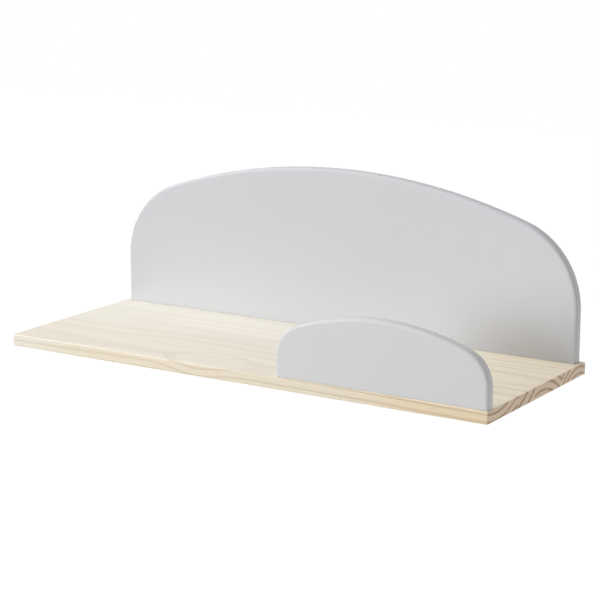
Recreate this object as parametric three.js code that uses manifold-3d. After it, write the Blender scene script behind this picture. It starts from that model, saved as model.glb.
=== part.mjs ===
// Wall shelf: an edge-glued pine board that carries an arched back panel and a low arched guard.
// Units are millimetres. +X runs along the shelf to its right end, +Y to the wall and +Z up.
// The origin lies at the middle of the board's underside.

import * as THREE from 'three';
import { mergeVertices } from 'three/addons/utils/BufferGeometryUtils.js';
import Module from 'manifold-3d';

const wasm = await Module();
wasm.setup();

// Board: staves glued edge to edge that fill its depth, listed from the front to the wall
const BOARD_LENGTH = 800;
const BOARD_DEPTH = 307;
const BOARD_THICKNESS = 18;
const BOARD_EDGE_RADIUS = 2;
const STAVE_PROPORTIONS = [87, 54, 87, 79];

// Back panel and guard share one sheet material
const PANEL_THICKNESS = 18;
const PANEL_EDGE_RADIUS = 5;

// Back panel: its height counts from the board's top
const BACK_HEIGHT = 246;
const BACK_CORNER_RADIUS = 127;
const BACK_CROWN_RADIUS = 960;
const BACK_END_MARGIN = 6;
const BACK_WALL_GAP = 5;

// Front guard: its height counts from the board's top
const GUARD_LENGTH = 328;
const GUARD_HEIGHT = 100;
const GUARD_CORNER_RADIUS = 50;
const GUARD_CROWN_RADIUS = 370;
const GUARD_END_MARGIN = 1.5;
const GUARD_FRONT_MARGIN = 2.5;

// Countersunk screws that come up through the board into both panels
const BACK_SCREW_COUNT = 4;
const BACK_SCREW_INSET = 60;
const GUARD_SCREW_COUNT = 3;
const GUARD_SCREW_INSET = 45;
const SCREW_SHANK_RADIUS = 2;
const SCREW_HEAD_RADIUS = 4;
const SCREW_HEAD_RIM = 0.4;
const SCREW_SINK = 0.5;
const SCREW_GRIP = 27;
const SCREW_TIP_LENGTH = 5;

// Fluted dowels, one midway between each two neighbouring screws
const DOWEL_RADIUS = 4;
const DOWEL_LENGTH = 30;
const DOWEL_CHAMFER = 1;
const DOWEL_FLOOR = 6;
const DOWEL_FLUTES = 14;
const DOWEL_FLUTE_DEPTH = 0.4;

// Keyhole hangers of bent sheet steel on the back panel's rear face
const HANGER_END_INSET = 144;
const HANGER_TOP_MARGIN = 18;
const HANGER_WIDTH = 30;
const HANGER_FLANGE_LENGTH = 14;
const HANGER_CORNER_RADIUS = 6;
const HANGER_SHEET = 1.2;
const HANGER_BEND_ANGLE = Math.PI / 4;
const HANGER_WALL_CLEARANCE = 0.3;
const KEYHOLE_ENTRY_RADIUS = 5;
const KEYHOLE_SLOT_RADIUS = 2.5;
const KEYHOLE_SLOT_LENGTH = 12;
const KEYHOLE_MARGIN = 4.5;

// Pan-head screws that hold the hangers
const HANGER_SCREW_SHANK_RADIUS = 1.75;
const HANGER_SCREW_HEAD_RADIUS = 3.5;
const HANGER_SCREW_CROWN_RADIUS = 2.6;
const HANGER_SCREW_HEAD_HEIGHT = 2;
const HANGER_SCREW_RIM_HEIGHT = 1;
const HANGER_SCREW_TIP_LENGTH = 3;
const HANGER_SCREW_COVER = 5;

// Cross recess in every screw head
const RECESS_SPAN = 4.4;
const RECESS_WIDTH = 1;
const RECESS_DEPTH = 1.4;

// Gap that a piece keeps to the hole or seat that holds it
const CLEARANCE = 0.3;
// How far a cutting tool runs past the face that it starts from
const OVERSHOOT = 1;

// Facets
const QUARTER_TURN = Math.PI / 2;
const EDGE_STEPS = 4;
const CORNER_STEPS = 20;
const CROWN_STEPS = 32;
const ROUND_STEPS = 24;
const WELD_DISTANCE = 1e-5;

// Places worked out from the sizes
const STAVE_SCALE = BOARD_DEPTH / STAVE_PROPORTIONS.reduce((sum, share) => sum + share, 0);
const BOARD_FRONT = -BOARD_DEPTH / 2;
const BOARD_REAR = BOARD_DEPTH / 2;
const BOARD_ROUNDING = Math.min(BOARD_EDGE_RADIUS, BOARD_THICKNESS / 2);
const PANEL_ROUNDING = Math.min(PANEL_EDGE_RADIUS, PANEL_THICKNESS / 2);
const BACK_LENGTH = BOARD_LENGTH - 2 * BACK_END_MARGIN;
const BACK_Y = BOARD_REAR - BACK_WALL_GAP - PANEL_THICKNESS / 2;
const GUARD_X = BOARD_LENGTH / 2 - GUARD_END_MARGIN - GUARD_LENGTH / 2;
const GUARD_Y = BOARD_FRONT + GUARD_FRONT_MARGIN + PANEL_THICKNESS / 2;
const SCREW_TOP = BOARD_THICKNESS + SCREW_GRIP;
const SCREW_LENGTH = SCREW_TOP - SCREW_SINK;
const DOWEL_BASE = DOWEL_FLOOR + CLEARANCE;
const DOWEL_TOP = DOWEL_BASE + DOWEL_LENGTH;
const KEYHOLE_HEIGHT = KEYHOLE_ENTRY_RADIUS + KEYHOLE_SLOT_LENGTH + KEYHOLE_SLOT_RADIUS;
const HANGER_STANDOFF = BACK_WALL_GAP - HANGER_WALL_CLEARANCE;
const HANGER_RISE = HANGER_STANDOFF - HANGER_SHEET;
const HANGER_RAMP = HANGER_RISE / Math.tan(HANGER_BEND_ANGLE);
const HANGER_BRIDGE_HEIGHT = KEYHOLE_HEIGHT + 2 * KEYHOLE_MARGIN;
const HANGER_HEIGHT = HANGER_BRIDGE_HEIGHT + 2 * (HANGER_RAMP + HANGER_FLANGE_LENGTH);
const HANGER_X = BACK_LENGTH / 2 - HANGER_END_INSET;
const HANGER_SCREW_GRIP = PANEL_THICKNESS - HANGER_SCREW_COVER;

const AXIS_X = new THREE.Vector3(1, 0, 0);
const AXIS_Y = new THREE.Vector3(0, 1, 0);
const AXIS_Z = new THREE.Vector3(0, 0, 1);

// Frames that turn a form drawn in XY and built along Z into its place
const FACING_WALL = new THREE.Matrix4().makeBasis(AXIS_X, AXIS_Z, AXIS_Y.clone().negate());
const ALONG_BOARD = new THREE.Matrix4().makeBasis(AXIS_Y, AXIS_Z, AXIS_X);

const pine = new THREE.MeshStandardMaterial({ color: 0xe9dfcb, roughness: 0.6, metalness: 0 });
const greyPaint = new THREE.MeshStandardMaterial({ color: 0xd6d7d8, roughness: 0.45, metalness: 0 });
const beech = new THREE.MeshStandardMaterial({ color: 0xd3b58c, roughness: 0.7, metalness: 0 });
const zincSteel = new THREE.MeshStandardMaterial({ color: 0xb9bcbe, roughness: 0.35, metalness: 1 });

// Solids

// Turns a closed three.js geometry into a solid that can be cut and joined
function solidOf(geometry) {
  const bare = new THREE.BufferGeometry();
  bare.setAttribute('position', geometry.getAttribute('position').clone());
  bare.setIndex(geometry.getIndex() ? geometry.getIndex().clone() : null);
  const welded = mergeVertices(bare, WELD_DISTANCE);
  const corners = welded.getIndex().array;
  const triangles = [];
  for (let i = 0; i < corners.length; i += 3) {
    const [a, b, c] = [corners[i], corners[i + 1], corners[i + 2]];
    if (a !== b && b !== c && c !== a) triangles.push(a, b, c);
  }
  return new wasm.Manifold(new wasm.Mesh({
    numProp: 3,
    vertProperties: new Float32Array(welded.getAttribute('position').array),
    triVerts: new Uint32Array(triangles),
  }));
}

function geometryOf(solid) {
  const mesh = solid.getMesh();
  const geometry = new THREE.BufferGeometry();
  geometry.setAttribute('position', new THREE.BufferAttribute(mesh.vertProperties, mesh.numProp));
  geometry.setIndex(new THREE.BufferAttribute(mesh.triVerts, 1));
  return geometry;
}

function cut(solid, tools) {
  return tools.reduce((rest, tool) => rest.subtract(tool), solid);
}

// A closed body through loops of equally many points, each a level of { points, height }.
// The loops run counter-clockwise in XY and the levels rise along Z.
function loft(levels) {
  const count = levels[0].points.length;
  const positions = levels.flatMap(({ points, height }) => points.flatMap((p) => [p.x, p.y, height]));
  const indices = [];
  for (let level = 0; level + 1 < levels.length; level += 1) {
    for (let i = 0; i < count; i += 1) {
      const next = (i + 1) % count;
      const a = level * count + i;
      const b = level * count + next;
      indices.push(a, b, b + count, a, b + count, a + count);
    }
  }
  const top = (levels.length - 1) * count;
  for (const [a, b, c] of THREE.ShapeUtils.triangulateShape(levels[0].points, [])) {
    indices.push(a, c, b);
  }
  for (const [a, b, c] of THREE.ShapeUtils.triangulateShape(levels.at(-1).points, [])) {
    indices.push(top + a, top + b, top + c);
  }
  const geometry = new THREE.BufferGeometry();
  geometry.setAttribute('position', new THREE.Float32BufferAttribute(positions, 3));
  geometry.setIndex(indices);
  return geometry;
}

// Levels of a body whose rim is rounded at both ends, from a loop that depends on its inset
function roundedLevels(loopAtInset, length, radius) {
  const upper = Array.from({ length: EDGE_STEPS + 1 }, (_, step) => {
    const angle = (step / EDGE_STEPS) * QUARTER_TURN;
    return {
      points: loopAtInset(radius * (1 - Math.cos(angle))),
      height: length / 2 - radius * (1 - Math.sin(angle)),
    };
  });
  const lower = upper.map(({ points, height }) => ({ points, height: -height })).reverse();
  return [...lower, ...upper];
}

// A round bar along Z between two heights, optionally tapering
function roundBar(x, y, low, high, radius, topRadius = radius) {
  const bar = new THREE.CylinderGeometry(topRadius, radius, high - low, ROUND_STEPS);
  bar.rotateX(QUARTER_TURN);
  bar.translate(x, y, (low + high) / 2);
  return solidOf(bar);
}

function turnedBody(profile) {
  const body = new THREE.LatheGeometry(profile.map(([r, z]) => new THREE.Vector2(r, z)), ROUND_STEPS);
  body.rotateX(QUARTER_TURN);
  return solidOf(body);
}

// Positions along X: evenly spread fixings, and the midpoints between them
function spread(length, inset, count) {
  const start = inset - length / 2;
  const pitch = (length - 2 * inset) / (count - 1);
  return Array.from({ length: count }, (_, i) => start + i * pitch);
}

function midpoints(places) {
  return places.slice(1).map((place, i) => (place + places[i]) / 2);
}

// Arched outline

// The outline of a panel: upright sides, two corner arcs and a crown arc that meets them smoothly
function arch(length, height, cornerRadius, crownRadius) {
  const cornerX = length / 2 - cornerRadius;
  const crownY = height - crownRadius;
  const cornerY = crownY + Math.sqrt((crownRadius - cornerRadius) ** 2 - cornerX ** 2);
  return {
    cornerX,
    cornerY,
    crownY,
    cornerRadius,
    crownRadius,
    joinAngle: Math.atan2(cornerY - crownY, cornerX),
  };
}

function arcPoints(x, y, radius, from, to, steps) {
  return Array.from({ length: steps + 1 }, (_, i) => {
    const angle = from + ((to - from) * i) / steps;
    return new THREE.Vector2(x + radius * Math.cos(angle), y + radius * Math.sin(angle));
  });
}

// The arch as a loop that starts at its right foot, drawn in by an inset everywhere but at the foot
function archLoop(form, inset) {
  const { cornerX, cornerY, crownY, joinAngle } = form;
  const corner = form.cornerRadius - inset;
  const crown = form.crownRadius - inset;
  const footAngle = cornerY < 0 ? Math.asin(-cornerY / corner) : 0;
  const rightCorner = arcPoints(cornerX, cornerY, corner, footAngle, joinAngle, CORNER_STEPS);
  const crownArc = arcPoints(0, crownY, crown, joinAngle, Math.PI - joinAngle, CROWN_STEPS);
  const leftCorner = rightCorner.map((p) => new THREE.Vector2(-p.x, p.y)).reverse();
  const loop = [...rightCorner, ...crownArc.slice(1, -1), ...leftCorner];
  if (cornerY > 0) {
    loop.unshift(new THREE.Vector2(cornerX + corner, 0));
    loop.push(new THREE.Vector2(-cornerX - corner, 0));
  }
  return loop;
}

// Height of the arch above its foot at a distance from its middle
function archHeightAt(form, x) {
  const joinX = form.crownRadius * Math.cos(form.joinAngle);
  if (Math.abs(x) <= joinX) return form.crownY + Math.sqrt(form.crownRadius ** 2 - x ** 2);
  return form.cornerY + Math.sqrt(form.cornerRadius ** 2 - (Math.abs(x) - form.cornerX) ** 2);
}

function archedPanel(form) {
  const loop = (inset) => archLoop(form, inset);
  const body = loft(roundedLevels(loop, PANEL_THICKNESS, PANEL_ROUNDING));
  return solidOf(body.applyMatrix4(FACING_WALL));
}

// Board

// Cross-section of a stave in Y and Z, drawn in by an inset on every side but its glued edges
function staveSection({ front, rear, isFirst, isLast }, inset) {
  const radius = BOARD_ROUNDING - inset;
  const corners = [
    { side: 1, rise: -1, isRounded: isLast },
    { side: 1, rise: 1, isRounded: isLast },
    { side: -1, rise: 1, isRounded: isFirst },
    { side: -1, rise: -1, isRounded: isFirst },
  ];
  return corners.flatMap(({ side, rise, isRounded }, i) => {
    const edge = side > 0 ? rear : front;
    const z = (rise > 0 ? BOARD_THICKNESS : 0) - rise * inset;
    if (!isRounded) return [new THREE.Vector2(edge, z)];
    const y = edge - side * inset;
    const start = (i - 1) * QUARTER_TURN;
    return arcPoints(y - side * radius, z - rise * radius, radius, start, start + QUARTER_TURN, EDGE_STEPS);
  });
}

function staveBody(stave) {
  const loop = (inset) => staveSection(stave, inset);
  const body = loft(roundedLevels(loop, BOARD_LENGTH, BOARD_ROUNDING));
  return solidOf(body.applyMatrix4(ALONG_BOARD));
}

// Fasteners

function crossRecess(depth) {
  const bar = new THREE.BoxGeometry(RECESS_SPAN, RECESS_WIDTH, depth + OVERSHOOT);
  bar.translate(0, 0, (depth - OVERSHOOT) / 2);
  const along = solidOf(bar);
  const across = solidOf(bar.rotateZ(QUARTER_TURN));
  return along.add(across);
}

// A countersunk screw with its head at the origin and its tip up
function panelScrew() {
  const cone = SCREW_HEAD_RADIUS - SCREW_SHANK_RADIUS;
  const body = turnedBody([
    [0, 0],
    [SCREW_HEAD_RADIUS, 0],
    [SCREW_HEAD_RADIUS, SCREW_HEAD_RIM],
    [SCREW_SHANK_RADIUS, SCREW_HEAD_RIM + cone],
    [SCREW_SHANK_RADIUS, SCREW_LENGTH - SCREW_TIP_LENGTH],
    [0, SCREW_LENGTH],
  ]);
  return body.subtract(crossRecess(RECESS_DEPTH));
}

// What a countersunk screw at a place takes out of the board
function screwHole(x, y) {
  const shank = SCREW_SHANK_RADIUS + CLEARANCE;
  const head = SCREW_HEAD_RADIUS + CLEARANCE;
  const rim = SCREW_SINK + SCREW_HEAD_RIM;
  const bore = roundBar(x, y, -OVERSHOOT, BOARD_THICKNESS + OVERSHOOT, shank);
  const seat = roundBar(x, y, rim, rim + head - shank, head, shank);
  const mouth = roundBar(x, y, -OVERSHOOT, rim, head);
  return bore.add(seat).add(mouth);
}

// A pan-head screw whose head's seat lies at the origin and whose tip is up
function hangerScrew() {
  const length = HANGER_SHEET + HANGER_SCREW_GRIP;
  const body = turnedBody([
    [0, -HANGER_SCREW_HEAD_HEIGHT],
    [HANGER_SCREW_CROWN_RADIUS, -HANGER_SCREW_HEAD_HEIGHT],
    [HANGER_SCREW_HEAD_RADIUS, -HANGER_SCREW_RIM_HEIGHT],
    [HANGER_SCREW_HEAD_RADIUS, 0],
    [HANGER_SCREW_SHANK_RADIUS, 0],
    [HANGER_SCREW_SHANK_RADIUS, length - HANGER_SCREW_TIP_LENGTH],
    [0, length],
  ]);
  const recess = crossRecess(RECESS_DEPTH).translate([0, 0, -HANGER_SCREW_HEAD_HEIGHT]);
  return body.subtract(recess);
}

// A fluted dowel with chamfered ends, standing on the origin
function dowel() {
  const outline = [];
  for (let flute = 0; flute < DOWEL_FLUTES; flute += 1) {
    const pitch = (2 * Math.PI) / DOWEL_FLUTES;
    const ridge = flute * pitch;
    const valley = ridge + pitch / 2;
    const inner = DOWEL_RADIUS - DOWEL_FLUTE_DEPTH;
    outline.push(new THREE.Vector2(DOWEL_RADIUS * Math.cos(ridge), DOWEL_RADIUS * Math.sin(ridge)));
    outline.push(new THREE.Vector2(inner * Math.cos(valley), inner * Math.sin(valley)));
  }
  const end = outline.map((p) => p.clone().multiplyScalar(1 - DOWEL_CHAMFER / DOWEL_RADIUS));
  return solidOf(loft([
    { points: end, height: 0 },
    { points: outline, height: DOWEL_CHAMFER },
    { points: outline, height: DOWEL_LENGTH - DOWEL_CHAMFER },
    { points: end, height: DOWEL_LENGTH },
  ]));
}

function dowelHole(x, y, low, high) {
  return roundBar(x, y, low, high, DOWEL_RADIUS + CLEARANCE);
}

// Hanger

// Side view of the bent sheet, as distance from the panel and height
function hangerSection() {
  const bend = HANGER_SHEET * Math.tan(HANGER_BEND_ANGLE / 2);
  const end = HANGER_HEIGHT / 2;
  const knee = HANGER_BRIDGE_HEIGHT / 2;
  const upper = [
    [HANGER_STANDOFF, knee],
    [HANGER_SHEET, knee + HANGER_RAMP],
    [HANGER_SHEET, end],
    [0, end],
    [0, knee + HANGER_RAMP - bend],
    [HANGER_RISE, knee - bend],
  ];
  const lower = upper.map(([out, height]) => [out, -height]).reverse();
  return [...upper, ...lower].map(([out, height]) => new THREE.Vector2(out, height));
}

// The keyhole around the hanger's middle: a round entry with a narrower slot above it
function keyholeShape() {
  const slotTop = KEYHOLE_HEIGHT / 2 - KEYHOLE_SLOT_RADIUS;
  const entryMiddle = KEYHOLE_ENTRY_RADIUS - KEYHOLE_HEIGHT / 2;
  const mouth = QUARTER_TURN + Math.asin(KEYHOLE_SLOT_RADIUS / KEYHOLE_ENTRY_RADIUS);
  const slot = arcPoints(0, slotTop, KEYHOLE_SLOT_RADIUS, 0, Math.PI, ROUND_STEPS / 2);
  const entry = arcPoints(0, entryMiddle, KEYHOLE_ENTRY_RADIUS, mouth, 3 * Math.PI - mouth, ROUND_STEPS);
  return new THREE.Shape([...slot, ...entry]);
}

function roundedRectangle(width, height, radius) {
  const x = width / 2 - radius;
  const y = height / 2 - radius;
  const corners = [[x, -y], [x, y], [-x, y], [-x, -y]];
  return new THREE.Shape(corners.flatMap(([cornerX, cornerY], i) =>
    arcPoints(cornerX, cornerY, radius, (i - 1) * QUARTER_TURN, i * QUARTER_TURN, EDGE_STEPS)));
}

// A flat form pushed through the sheet, from the panel's side past the wall side
function through(shape) {
  const depth = BACK_WALL_GAP + 2 * OVERSHOOT;
  const body = new THREE.ExtrudeGeometry(shape, { depth, bevelEnabled: false });
  body.applyMatrix4(FACING_WALL);
  body.translate(0, depth - OVERSHOOT, 0);
  return solidOf(body);
}

function hangerBody() {
  const sheet = new THREE.ExtrudeGeometry(new THREE.Shape(hangerSection()), {
    depth: HANGER_WIDTH,
    bevelEnabled: false,
  });
  sheet.applyMatrix4(ALONG_BOARD);
  sheet.translate(-HANGER_WIDTH / 2, 0, 0);
  const outline = through(roundedRectangle(HANGER_WIDTH, HANGER_HEIGHT, HANGER_CORNER_RADIUS));
  const hole = HANGER_SCREW_SHANK_RADIUS + CLEARANCE;
  const screwHoles = hangerScrewHeights().map((z) => through(
    new THREE.Shape(arcPoints(0, z, hole, 0, 2 * Math.PI, ROUND_STEPS).slice(0, -1))));
  return cut(solidOf(sheet).intersect(outline), [through(keyholeShape()), ...screwHoles]);
}

// Middles of the two flanges, the top one first
function hangerScrewHeights() {
  const height = (HANGER_HEIGHT - HANGER_FLANGE_LENGTH) / 2;
  return [height, -height];
}

// Assembly

function piece(name, geometry, material, x = 0, y = 0, z = 0) {
  const mesh = new THREE.Mesh(geometry, material);
  mesh.name = name;
  mesh.position.set(x, y, z);
  return mesh;
}

const backArch = arch(BACK_LENGTH, BACK_HEIGHT, BACK_CORNER_RADIUS, BACK_CROWN_RADIUS);
const guardArch = arch(GUARD_LENGTH, GUARD_HEIGHT, GUARD_CORNER_RADIUS, GUARD_CROWN_RADIUS);
const backScrews = spread(BACK_LENGTH, BACK_SCREW_INSET, BACK_SCREW_COUNT);
const guardScrews = spread(GUARD_LENGTH, GUARD_SCREW_INSET, GUARD_SCREW_COUNT);
const hangerTop = archHeightAt(backArch, HANGER_X + HANGER_WIDTH / 2) - HANGER_TOP_MARGIN;
const hangerMiddle = hangerTop - HANGER_HEIGHT / 2;

// Holes that the fixings of a panel need in its own foot
function footHoles(screwPlaces) {
  const shank = SCREW_SHANK_RADIUS + CLEARANCE;
  const screwDepth = SCREW_GRIP + CLEARANCE;
  const dowelDepth = DOWEL_TOP - BOARD_THICKNESS + CLEARANCE;
  return [
    ...screwPlaces.map((x) => roundBar(x, 0, -OVERSHOOT, screwDepth, shank)),
    ...midpoints(screwPlaces).map((x) => dowelHole(x, 0, -OVERSHOOT, dowelDepth)),
  ];
}

// Holes that the fixings of a panel need in the board
function boardHoles(screwPlaces, panelX, panelY) {
  const top = BOARD_THICKNESS + OVERSHOOT;
  return [
    ...screwPlaces.map((x) => screwHole(panelX + x, panelY)),
    ...midpoints(screwPlaces).map((x) => dowelHole(panelX + x, panelY, DOWEL_FLOOR, top)),
  ];
}

// Blind holes in the back panel's rear face for the hangers' screws
function hangerHoles() {
  const low = PANEL_THICKNESS / 2 - HANGER_SCREW_GRIP - CLEARANCE;
  const high = PANEL_THICKNESS / 2 + OVERSHOOT;
  const radius = HANGER_SCREW_SHANK_RADIUS + CLEARANCE;
  return [-HANGER_X, HANGER_X].flatMap((x) => hangerScrewHeights().map((z) => {
    const bar = new THREE.CylinderGeometry(radius, radius, high - low, ROUND_STEPS);
    bar.translate(x, (low + high) / 2, hangerMiddle + z);
    return solidOf(bar);
  }));
}

function buildBoard() {
  const board = new THREE.Group();
  const holes = [
    ...boardHoles(backScrews, 0, BACK_Y),
    ...boardHoles(guardScrews, GUARD_X, GUARD_Y),
  ];
  let front = BOARD_FRONT;
  STAVE_PROPORTIONS.forEach((share, i) => {
    const isFirst = i === 0;
    const isLast = i === STAVE_PROPORTIONS.length - 1;
    const rear = isLast ? BOARD_REAR : front + share * STAVE_SCALE;
    const stave = { front, rear, isFirst, isLast };
    board.add(piece(`stave_${i + 1}`, geometryOf(cut(staveBody(stave), holes)), pine));
    front = rear;
  });
  return board;
}

// Screws and dowels of one panel, placed on the line of its foot
function buildFixings(name, screwPlaces) {
  const fixings = new THREE.Group();
  screwPlaces.forEach((x, i) => {
    fixings.add(piece(`${name}_screw_${i + 1}`, geometryOf(panelScrew()), zincSteel, x, 0, SCREW_SINK));
  });
  midpoints(screwPlaces).forEach((x, i) => {
    fixings.add(piece(`${name}_dowel_${i + 1}`, geometryOf(dowel()), beech, x, 0, DOWEL_BASE));
  });
  return fixings;
}

function buildHanger(side, x) {
  const hanger = new THREE.Group();
  hanger.add(piece(`hanger_${side}`, geometryOf(hangerBody()), zincSteel));
  hangerScrewHeights().forEach((z, i) => {
    const name = `hanger_${side}_screw_${i === 0 ? 'top' : 'bottom'}`;
    const screw = piece(name, geometryOf(hangerScrew()), zincSteel, 0, HANGER_SHEET, z);
    screw.rotation.x = QUARTER_TURN;
    hanger.add(screw);
  });
  hanger.position.set(x, PANEL_THICKNESS / 2, hangerMiddle);
  return hanger;
}

function buildBackPanel() {
  const back = new THREE.Group();
  const solid = cut(archedPanel(backArch), [...footHoles(backScrews), ...hangerHoles()]);
  back.add(piece('back_panel', geometryOf(solid), greyPaint));
  back.add(buildHanger('left', -HANGER_X));
  back.add(buildHanger('right', HANGER_X));
  back.position.set(0, BACK_Y, BOARD_THICKNESS);
  return back;
}

function buildGuard() {
  const solid = cut(archedPanel(guardArch), footHoles(guardScrews));
  return piece('front_guard', geometryOf(solid), greyPaint, GUARD_X, GUARD_Y, BOARD_THICKNESS);
}

const shelf = new THREE.Group();
shelf.add(buildBoard());
shelf.add(buildBackPanel());
shelf.add(buildGuard());

const backFixings = buildFixings('back', backScrews);
backFixings.position.set(0, BACK_Y, 0);
shelf.add(backFixings);

const guardFixings = buildFixings('guard', guardScrews);
guardFixings.position.set(GUARD_X, GUARD_Y, 0);
shelf.add(guardFixings);

export default shelf;
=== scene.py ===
"""Looks of a wall shelf: a glued pine board, an arched back panel, a low arched guard and their fixings.

Units are metres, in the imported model's frame: +X along the shelf, +Y to the wall and +Z up.
"""

import math
from dataclasses import dataclass

import bmesh
import bpy
import numpy as np
from mathutils import Matrix, Vector


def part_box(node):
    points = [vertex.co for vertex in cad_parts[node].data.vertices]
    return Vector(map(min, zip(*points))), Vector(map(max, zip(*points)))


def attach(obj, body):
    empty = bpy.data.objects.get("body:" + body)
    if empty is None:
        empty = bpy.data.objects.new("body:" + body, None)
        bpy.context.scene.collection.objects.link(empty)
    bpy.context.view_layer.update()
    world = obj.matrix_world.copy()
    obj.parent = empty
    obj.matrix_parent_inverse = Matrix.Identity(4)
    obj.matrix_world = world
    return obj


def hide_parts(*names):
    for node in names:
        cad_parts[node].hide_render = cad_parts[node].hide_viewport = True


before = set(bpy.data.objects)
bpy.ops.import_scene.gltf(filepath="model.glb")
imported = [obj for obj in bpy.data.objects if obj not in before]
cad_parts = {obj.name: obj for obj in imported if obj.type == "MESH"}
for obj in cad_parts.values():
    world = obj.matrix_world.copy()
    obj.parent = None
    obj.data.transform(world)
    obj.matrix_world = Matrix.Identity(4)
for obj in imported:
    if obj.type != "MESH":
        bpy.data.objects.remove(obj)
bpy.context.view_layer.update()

MM = 0.001
QUARTER_TURN = math.pi / 2
FULL_TURN = 2 * math.pi

# Meshes. Edges that turn by more than the smooth angle, in degrees, stay sharp
JOIN_DISTANCE = 1e-7
SMOOTH_ANGLE = 35
FACE_WEIGHT = 100

# Board
BOARD_EDGE_RADIUS = 2 * MM
BOARD_EDGE_STEPS = 6

# Panels
PANEL_EDGE_RADIUS = 5 * MM
PANEL_EDGE_STEPS = 10
PANEL_FOOT_EASE = 0.8 * MM
FOOT_CORNER_RADIUS = 1.2 * MM
FOOT_CORNER_STEPS = 4
BACK_CORNER_RADIUS = 127 * MM
BACK_CROWN_RADIUS = 960 * MM
GUARD_CORNER_RADIUS = 50 * MM
GUARD_CROWN_RADIUS = 370 * MM
CORNER_STEPS = 40
CROWN_STEPS = 64

# Holes for screws and dowels. A dowel fills its hole sideways
DOWEL_RADIUS = 4 * MM
HOLE_CLEARANCE = 0.3 * MM
HOLE_OVERSHOOT = 1 * MM
HOLE_SIDES = 48

# Countersunk screws
SHANK_RADIUS = 2 * MM
HEAD_RIM = 0.4 * MM
PLAIN_SHANK = 14 * MM

# Threads of all screws. The core is a share of the shank's radius, and a ridge's half width one of the pitch
CORE_SHARE = 0.7
THREAD_PITCH = 1.8 * MM
THREAD_STEP = 0.225 * MM
RIDGE_SHARE = 0.3
TIP_LENGTH = 5 * MM
SCREW_SIDES = 24

# Cross recess in every screw head
RECESS_SPAN = 4.4 * MM
RECESS_WIDTH = 1 * MM
RECESS_DEPTH = 1.4 * MM
RECESS_TAPER = 0.6

# Pan-head screws of the hangers
HANGER_SCREW_RADIUS = 1.75 * MM
PAN_HEAD_HEIGHT = 2 * MM
PAN_HEAD_DOME = 0.35 * MM
PAN_HEAD_EDGE = 1.1 * MM
PAN_HEAD_STEPS = 5
PAN_HEAD_FLAT_SHARE = 0.3

# Hangers
SHEET = 1.2 * MM
BEND_RADIUS = 1.4 * MM
BEND_STEPS = 6
FLANGE_LENGTH = 14 * MM
HANGER_CORNER_RADIUS = 6 * MM
HANGER_CORNER_STEPS = 10
KEYHOLE_ENTRY_RADIUS = 5 * MM
KEYHOLE_ENTRY_STEPS = 40
KEYHOLE_SLOT_RADIUS = 2.5 * MM
KEYHOLE_SLOT_LENGTH = 12 * MM
KEYHOLE_SLOT_STEPS = 20
HANGER_HOLE_SIDES = 32
HANGER_SMOOTH_ANGLE = 50

# Heights at which a hanger's flat form is split for its bends: their margin to its ends, and their digits
HANGER_END_MARGIN = 0.1 * MM
LEVEL_DIGITS = 7

# Colours as displayed, 0 to 255
PALE_PINE = (238, 233, 221)
WARM_PINE = (237, 218, 184)
END_PINE = (255, 243, 239)
LATE_PINE = (172, 143, 107)
GLUE_LINE = (150, 120, 84)
# The back panel and the guard have the same paint. The back panel's copy is darker and cooler than the
# guard's: painted shade, with a cool cast that offsets the warm light the wood throws on it
SHADED_BACK_PAINT = ((208, 210, 214), (211, 212, 216))
GUARD_PAINT = ((216, 216, 217), (219, 219, 219))
# Grey of the rounded panel edges: partly duller paint, partly painted shade on them
EDGE_DULL_PAINT_AND_SHADE = (183, 182, 181)
ZINC = ((176, 180, 184), (206, 208, 208))
DULL_ZINC = (150, 153, 156)
BEECH = ((214, 182, 142), (228, 200, 164))
BEECH_FLECK = (160, 118, 80)
FLOOR_COLOUR = (240, 240, 240)
SKY_COLOUR = (255, 255, 255)

# Camera. Its angles are in radians
CAMERA_PLACE = (1.48366, -2.32357, 0.7119)
CAMERA_YAW = 0.5635
CAMERA_PITCH = 0.2221
CAMERA_LENS_MM = 116.25
CAMERA_SENSOR_MM = 36

# Studio. Each lamp has a name, its azimuth and elevation in degrees, its strength and its width
FLOOR_DROP = 2.6
FLOOR_SIZE = 40
FLOOR_GLOW = 0.85
WORLD_STRENGTH = 0.2
LAMP_DISTANCE = 3
LAMP_TARGET = (-0.2, 0, 0.1)
LAMPS = (
    ("key", -24, 14, 0.29, 1.0),
    ("key_low", -24, 5, 0.29, 1.0),
    ("top", -5, 85, 0.24, 2.0),
    ("upper_left", -60, 65, 0.26, 2.0),
    ("left", -90, 40, 0.275, 2.0),
    ("right_low", 65, -25, 0.248, 2.0),
    ("rear_right", 150, 5, 0.18, 2.0),
    ("rear_left", -150, -25, 0.27, 2.0),
)


# Meshes

def add_object(name, mesh):
    """Links a finished bmesh as a new object, with doubled points joined and faces turned outwards."""
    bmesh.ops.remove_doubles(mesh, verts=mesh.verts, dist=JOIN_DISTANCE)
    bmesh.ops.dissolve_degenerate(mesh, edges=mesh.edges, dist=JOIN_DISTANCE)
    bmesh.ops.recalc_face_normals(mesh, faces=mesh.faces)
    data = bpy.data.meshes.new(name)
    mesh.to_mesh(data)
    mesh.free()
    piece = bpy.data.objects.new(name, data)
    bpy.context.scene.collection.objects.link(piece)
    return piece


def loft(name, loops):
    """A closed body through loops of equally many points, capped at both ends."""
    mesh = bmesh.new()
    rings = [[mesh.verts.new(point) for point in loop] for loop in loops]
    for low, high in zip(rings, rings[1:]):
        for i, corner in enumerate(low):
            j = (i + 1) % len(low)
            mesh.faces.new((corner, low[j], high[j], high[i]))
    mesh.faces.new(list(reversed(rings[0])))
    mesh.faces.new(rings[-1])
    return add_object(name, mesh)


def arc(across, up, radius, start, end, steps):
    """Points of an arc, both ends included, as pairs."""
    angles = np.linspace(start, end, steps + 1)
    return [(across + radius * math.cos(a), up + radius * math.sin(a)) for a in angles]


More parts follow.
